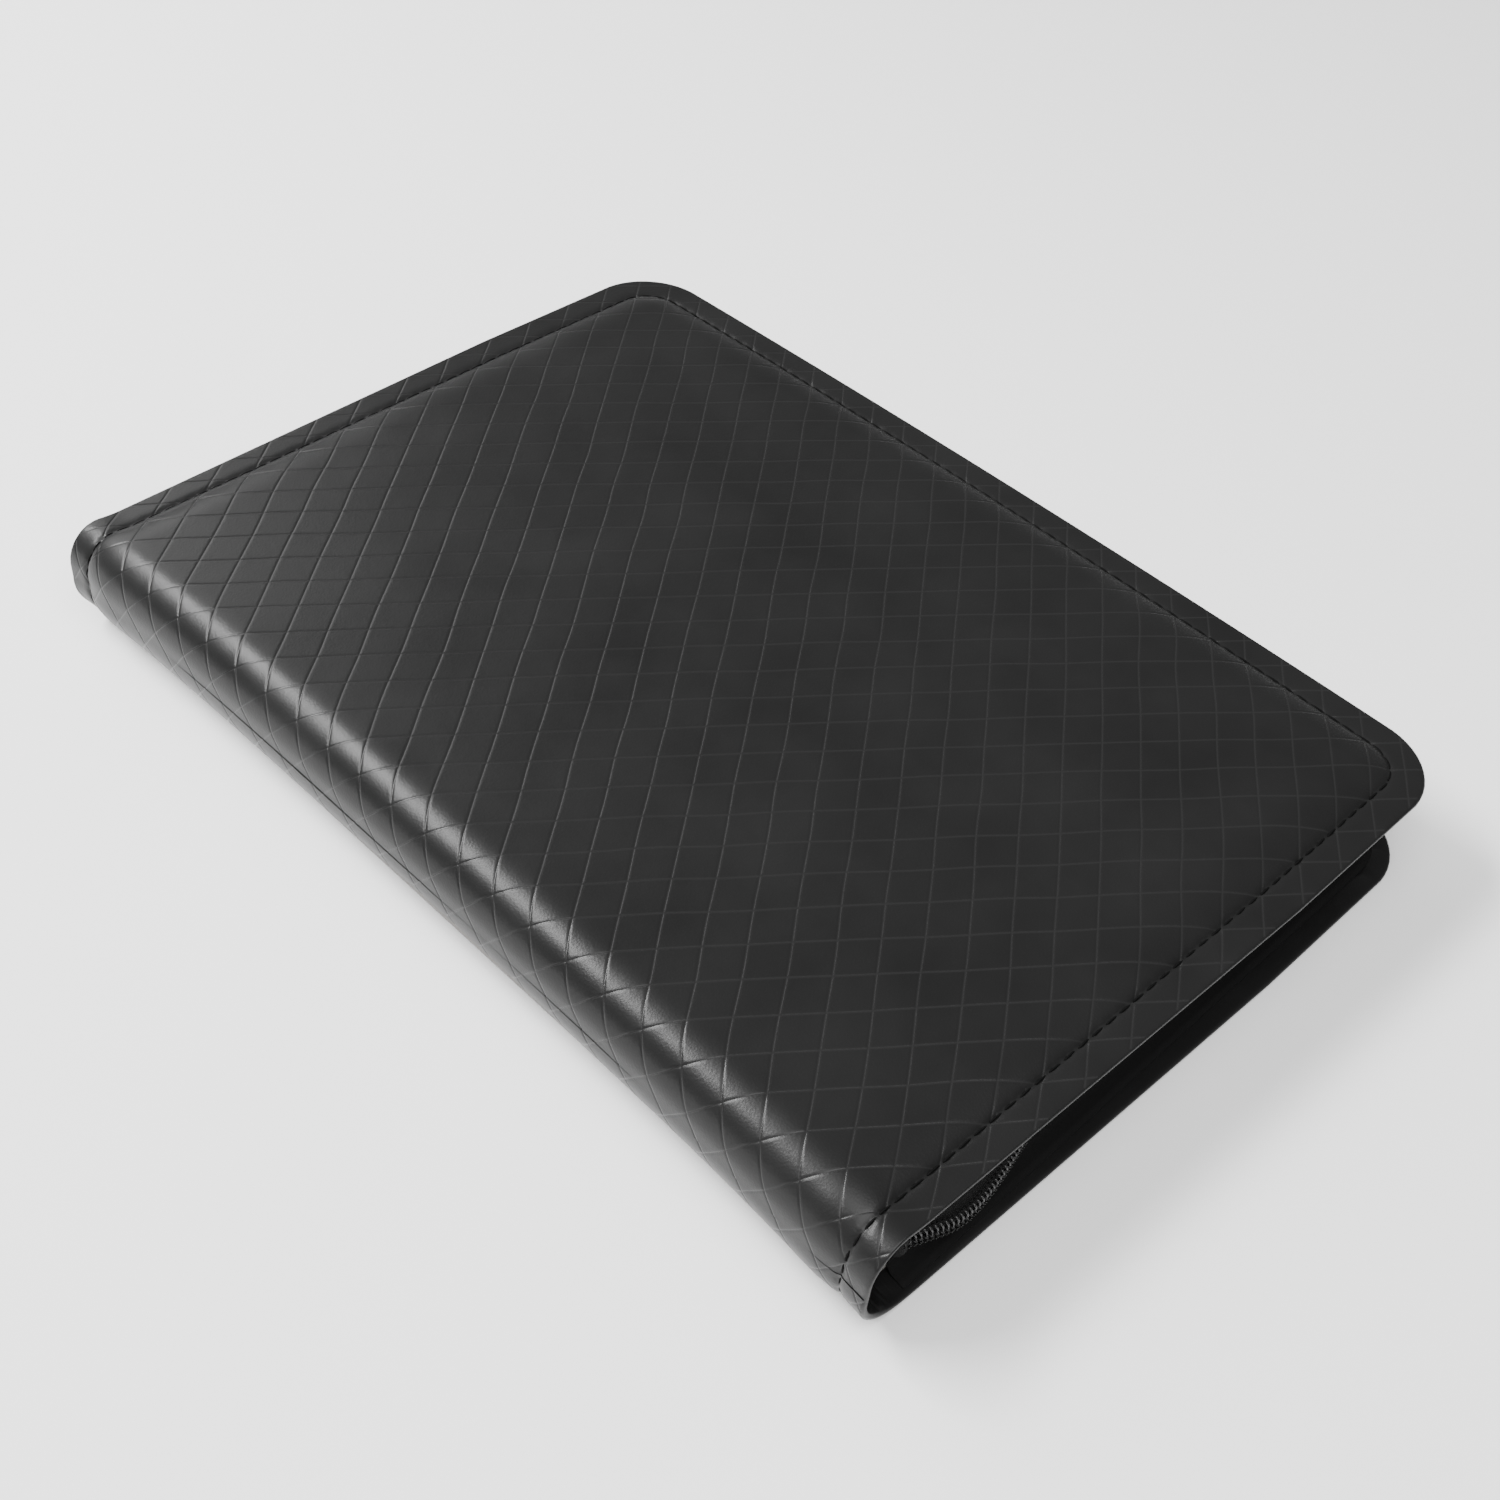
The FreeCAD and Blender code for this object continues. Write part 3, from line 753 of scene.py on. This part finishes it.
# ================= materials =================
class Nodes:
    """Short way to build a material's node tree."""

    def __init__(self, name):
        self.material = bpy.data.materials.new(name)
        self.material.use_nodes = True
        self.tree = self.material.node_tree
        self.shader = self.tree.nodes["Principled BSDF"]
        self.place = self.add("ShaderNodeTexCoord").outputs["Object"]

    def add(self, kind, **values):
        node = self.tree.nodes.new(kind)
        for key, value in values.items():
            if hasattr(node, key):
                setattr(node, key, value)
            else:
                self.feed(node.inputs[key.replace("_", " ")], value)
        return node

    def feed(self, socket, value):
        if isinstance(value, bpy.types.NodeSocket):
            self.tree.links.new(value, socket)
        else:
            socket.default_value = value

    def noise(self, scale, detail=3.0, roughness=0.55, vector=None):
        node = self.add("ShaderNodeTexNoise", Scale=scale, Detail=detail, Roughness=roughness)
        self.feed(node.inputs["Vector"], vector or self.place)
        return node.outputs["Fac"]

    def wave(self, scale, axis):
        node = self.add("ShaderNodeTexWave", bands_direction=axis, Scale=scale, Distortion=0.4)
        self.feed(node.inputs["Vector"], self.place)
        return node.outputs["Fac"]

    def cells(self, scale, feature="F1", vector=None):
        node = self.add("ShaderNodeTexVoronoi", feature=feature, Scale=scale)
        self.feed(node.inputs["Vector"], vector or self.place)
        return node.outputs["Distance"]

    def stretch(self, scale):
        node = self.add("ShaderNodeMapping")
        self.feed(node.inputs["Vector"], self.place)
        node.inputs["Scale"].default_value = scale
        return node.outputs["Vector"]

    def span(self, value, low, high, low_in=0.0, high_in=1.0):
        node = self.add("ShaderNodeMapRange")
        self.feed(node.inputs["Value"], value)
        node.inputs["From Min"].default_value = low_in
        node.inputs["From Max"].default_value = high_in
        node.inputs["To Min"].default_value = low
        node.inputs["To Max"].default_value = high
        return node.outputs["Result"]

    def math(self, operation, a, b=0.0):
        node = self.add("ShaderNodeMath", operation=operation)
        self.feed(node.inputs[0], a)
        self.feed(node.inputs[1], b)
        return node.outputs["Value"]

    def mix(self, share, a, b):
        node = self.add("ShaderNodeMix", data_type="RGBA")
        for row, value in ((0, share), (6, a), (7, b)):
            self.feed(node.inputs[row], value)
        return node.outputs[2]

    def attribute(self, name):
        return self.add("ShaderNodeAttribute", attribute_name=name).outputs["Fac"]

    def bump(self, height, distance, strength=1.0, after=None):
        node = self.add("ShaderNodeBump")
        self.feed(node.inputs["Height"], height)
        node.inputs["Distance"].default_value = distance
        node.inputs["Strength"].default_value = strength
        if after is not None:
            self.feed(node.inputs["Normal"], after)
        return node.outputs["Normal"]

    def surface(self, **values):
        names = {"color": "Base Color", "roughness": "Roughness", "normal": "Normal", "metallic": "Metallic",
                 "specular": "Specular IOR Level",
                 "sheen": "Sheen Weight", "sheen_roughness": "Sheen Roughness",
                 "coat": "Coat Weight", "coat_roughness": "Coat Roughness", "alpha": "Alpha"}
        for key, value in values.items():
            self.feed(self.shader.inputs[names[key]], value)
        return self.material


def grey(value, warm=0.0):
    return (value * (1 + warm), value, value * (1 - warm), 1.0)


def leather_material():
    """Black coated leather: fine pebble grain, embossed lines polished by the press, with a painted
    highlight making them lighter.
    """
    n = Nodes("black_leather")
    line = n.attribute("emboss")
    cloud = n.noise(28, 3)
    grain = n.cells(1500)
    fine = n.noise(2600, 2)
    tone = n.mix(n.span(cloud, 0, 1, 0.3, 0.7), grey(0.008), grey(0.0105))
    # painted highlight: the embossed lines get a lighter colour for the light their groove edges catch
    tone = n.mix(line, tone, grey(0.015))
    rough = n.span(cloud, 0.32, 0.37, 0.3, 0.7)
    rough = n.math("SUBTRACT", rough, n.math("MULTIPLY", line, 0.08))
    pebble = n.bump(grain, 0.05 * MM, 0.35)
    normal = n.bump(fine, 0.03 * MM, 0.3, pebble)
    normal = n.bump(n.noise(160, 2), 0.25 * MM, 0.15, normal)
    return n.surface(color=tone, roughness=rough, normal=normal, specular=0.2)


def weave_material(name, shade, scale, sheen):
    """Plain woven polyester: two crossing sets of threads."""
    n = Nodes(name)
    warp = n.wave(scale, "X")
    weft = n.wave(scale, "Y")
    cloth = n.math("MAXIMUM", warp, weft)
    tone = n.mix(n.noise(40, 3), grey(shade), grey(shade * 1.5))
    tone = n.mix(n.span(cloth, 0, 0.5), tone, grey(shade * 1.6))
    return n.surface(color=tone, roughness=n.span(cloth, 0.85, 0.7), specular=0.15,
                     normal=n.bump(cloth, 0.12 * MM, 0.6), sheen=sheen, sheen_roughness=0.5)


def nylon_material():
    """Black nylon filament, slightly glossy."""
    n = Nodes("black_nylon")
    tone = n.mix(n.noise(300, 2), grey(0.012), grey(0.022))
    return n.surface(color=tone, roughness=n.span(n.noise(900, 2), 0.24, 0.38), specular=0.5,
                     normal=n.bump(n.noise(2500, 2), 0.03 * MM, 0.3))


def thread_material():
    """Twisted black polyester thread."""
    n = Nodes("black_thread")
    twist = n.noise(1800, 1, vector=n.stretch((1.0, 1.0, 3.0)))
    tone = n.mix(twist, grey(0.0015), grey(0.004))
    return n.surface(color=tone, roughness=n.span(twist, 0.75, 0.9), specular=0.08,
                     normal=n.bump(twist, 0.1 * MM, 0.5))


def film_material():
    """Clear pocket film over a black core: dark, glossy, with faint waves and scuffs."""
    n = Nodes("pocket_film")
    waves = n.noise(26, 2)
    scuff = n.noise(700, 4)
    tone = n.mix(n.span(scuff, 0, 1, 0.45, 0.8), grey(0.02), grey(0.045))
    return n.surface(color=tone, roughness=n.span(scuff, 0.14, 0.3), specular=0.55,
                     normal=n.bump(waves, 1.2 * MM, 0.25), coat=0.4, coat_roughness=0.08)


def metal_material():
    """Black-lacquered zinc."""
    n = Nodes("lacquered_zinc")
    wear = n.noise(500, 4)
    tone = n.mix(n.span(wear, 0, 1, 0.5, 0.7), grey(0.06), grey(0.11))
    return n.surface(color=tone, roughness=n.span(wear, 0.26, 0.36), metallic=0.85,
                     normal=n.bump(n.noise(900, 2), 0.02 * MM, 0.3), coat=0.3, coat_roughness=0.2)


def board_material():
    """Grey binder's board with fine fibres."""
    n = Nodes("grey_board")
    fibre = n.noise(500, 4, vector=n.stretch((1.0, 4.0, 1.0)))
    tone = n.mix(fibre, grey(0.10, 0.06), grey(0.19, 0.05))
    return n.surface(color=tone, roughness=n.span(fibre, 0.85, 0.95), normal=n.bump(fibre, 0.08 * MM, 0.4))


# ================= light, floor, camera =================
def soft_light(name, place, aim, size, power):
    data = bpy.data.lights.new(name, "AREA")
    data.shape = "RECTANGLE"
    data.size, data.size_y = size
    data.energy = power
    light = bpy.data.objects.new(name, data)
    light.location = place
    light.rotation_euler = (Vector(aim) - Vector(place)).to_track_quat("-Z", "Y").to_euler()
    bpy.context.scene.collection.objects.link(light)


def studio():
    world = bpy.data.worlds.new("studio")
    world.use_nodes = True
    world.node_tree.nodes["Background"].inputs["Color"].default_value = (1, 1, 1, 1)
    world.node_tree.nodes["Background"].inputs["Strength"].default_value = 0.25
    bpy.context.scene.world = world
    floor_mesh = bpy.data.meshes.new("floor")
    reach = 6.0
    floor_mesh.from_pydata([(-reach, -reach, 0), (reach, -reach, 0), (reach, reach, 0), (-reach, reach, 0)],
                           [], [(0, 1, 2, 3)])
    floor = bpy.data.objects.new("floor", floor_mesh)
    bpy.context.scene.collection.objects.link(floor)
    n = Nodes("pale_floor")
    floor_mesh.materials.append(n.surface(color=grey(0.92), roughness=0.9, specular=0.1))
    soft_light("fill_softbox", (-0.6, -0.7, 1.8), (0, 0, 0.02), (1.8, 1.8), 62)
    soft_light("left_softbox", (-0.64, 0.88, 1.2), (-0.1, 0, 0.02), (1.0, 0.3), 52)
    soft_light("back_softbox", (0.1, 1.5, 1.0), (0.1, 0, 0.02), (1.2, 0.8), 14)


def camera():
    data = bpy.data.cameras.new("camera")
    data.lens = CAMERA_LENS
    data.sensor_width = 36.0
    data.dof.use_dof = False
    view = bpy.data.objects.new("camera", data)
    view.location = CAMERA_PLACE
    forward = Vector((math.sin(CAMERA_AZIMUTH) * math.cos(CAMERA_DOWN),
                      math.cos(CAMERA_AZIMUTH) * math.cos(CAMERA_DOWN), -math.sin(CAMERA_DOWN)))
    level = forward.to_track_quat("-Z", "Y")
    view.rotation_mode = "QUATERNION"
    view.rotation_quaternion = level @ Euler((0, 0, CAMERA_ROLL)).to_quaternion()
    bpy.context.scene.collection.objects.link(view)
    bpy.context.scene.camera = view


# ================= assembly =================
def dress(piece, material):
    piece.data.materials.append(material)


def build_covers():
    leather = leather_material()
    thread = thread_material()
    lining_cloth = weave_material("lining_cloth", 0.006, 900, 0.02)
    for side, back in (("front", False), ("back", True)):
        skin = leather_skin(side + "_skin", back)
        spine_nodes = [] if back else ["spine_leather", "spine_turn_in_near", "spine_turn_in_far"]
        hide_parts(side + "_leather", side + "_foam", *spine_nodes)
        dress(skin, leather)
        outer = stitch_row(side + "_stitches", back, False)
        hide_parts(side + "_stitching")
        dress(outer, thread)
        inner = stitch_row(side + "_stitches_inner", back, True)
        dress(inner, thread)
        lining = lining_sheet(side + "_lining_cloth", back)
        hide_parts(side + "_lining", *([] if back else ["spine_lining"]))
        dress(lining, lining_cloth)
        for piece in (skin, outer, inner, lining):
            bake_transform(piece)


def build_zip():
    tape_cloth = weave_material("tape_cloth", 0.004, 1500, 0.0)
    nylon = nylon_material()
    total = edge_length(TAPE_WALL, CHAIN_START_X)
    tail = total - (TAIL_BOX[1].x - CHAIN_START_X)
    upper_end = tail - TAIL_SPLIT
    runs = [("lower", "", "back_cover", False, 0.0, total, False),
            ("upper", "", "front_cover", True, 0.0, upper_end, False),
            ("upper", "_tail", "back_cover", True, tail, total, True)]
    for level, suffix, body, upper, start, end, is_tail in runs:
        tape = zip_tape(level + "_tape" + suffix, upper, start, end, is_tail)
        coil = zip_coil(level + "_coil" + suffix, upper, start, end)
        tape_node = "upper_tape_tail" if is_tail else level + "_zip_tape"
        coil_node = "upper_coil_tail" if is_tail else level + "_zip_coil"
        for piece, node, material, slot in ((tape, tape_node, tape_cloth, "zip_tape"),
                                            (coil, coil_node, nylon, "zip_coil")):
            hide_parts(node)
            dress(piece, material)
            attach(piece, body)
    for side in ("near", "far"):
        tab = end_tab(side + "_tab", side == "near")
        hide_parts(side + "_end_tab")
        dress(tab, tape_cloth)
        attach(tab, "back_cover")


def build_pages():
    film = film_material()
    strip = binding_strip()
    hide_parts("binding_strip")
    dress(strip, film)
    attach(strip, "spine")
    for number in range(1, PAGE_COUNT + 1):
        piece, fold_x = page_piece(number)
        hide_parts("page_%02d" % number)
        dress(piece, film)
        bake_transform(piece)


def finish_hard_parts():
    board = board_material()
    metal = metal_material()
    for name, material in (("front_board", board), ("back_board", board), ("spine_board", board),
                           ("slider_body", metal), ("slider_bridge", metal), ("pull_tab", metal)):
        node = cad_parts[name]
        node.data.materials.clear()
        node.data.materials.append(material)


build_covers()
build_zip()
build_pages()
finish_hard_parts()
studio()
camera()
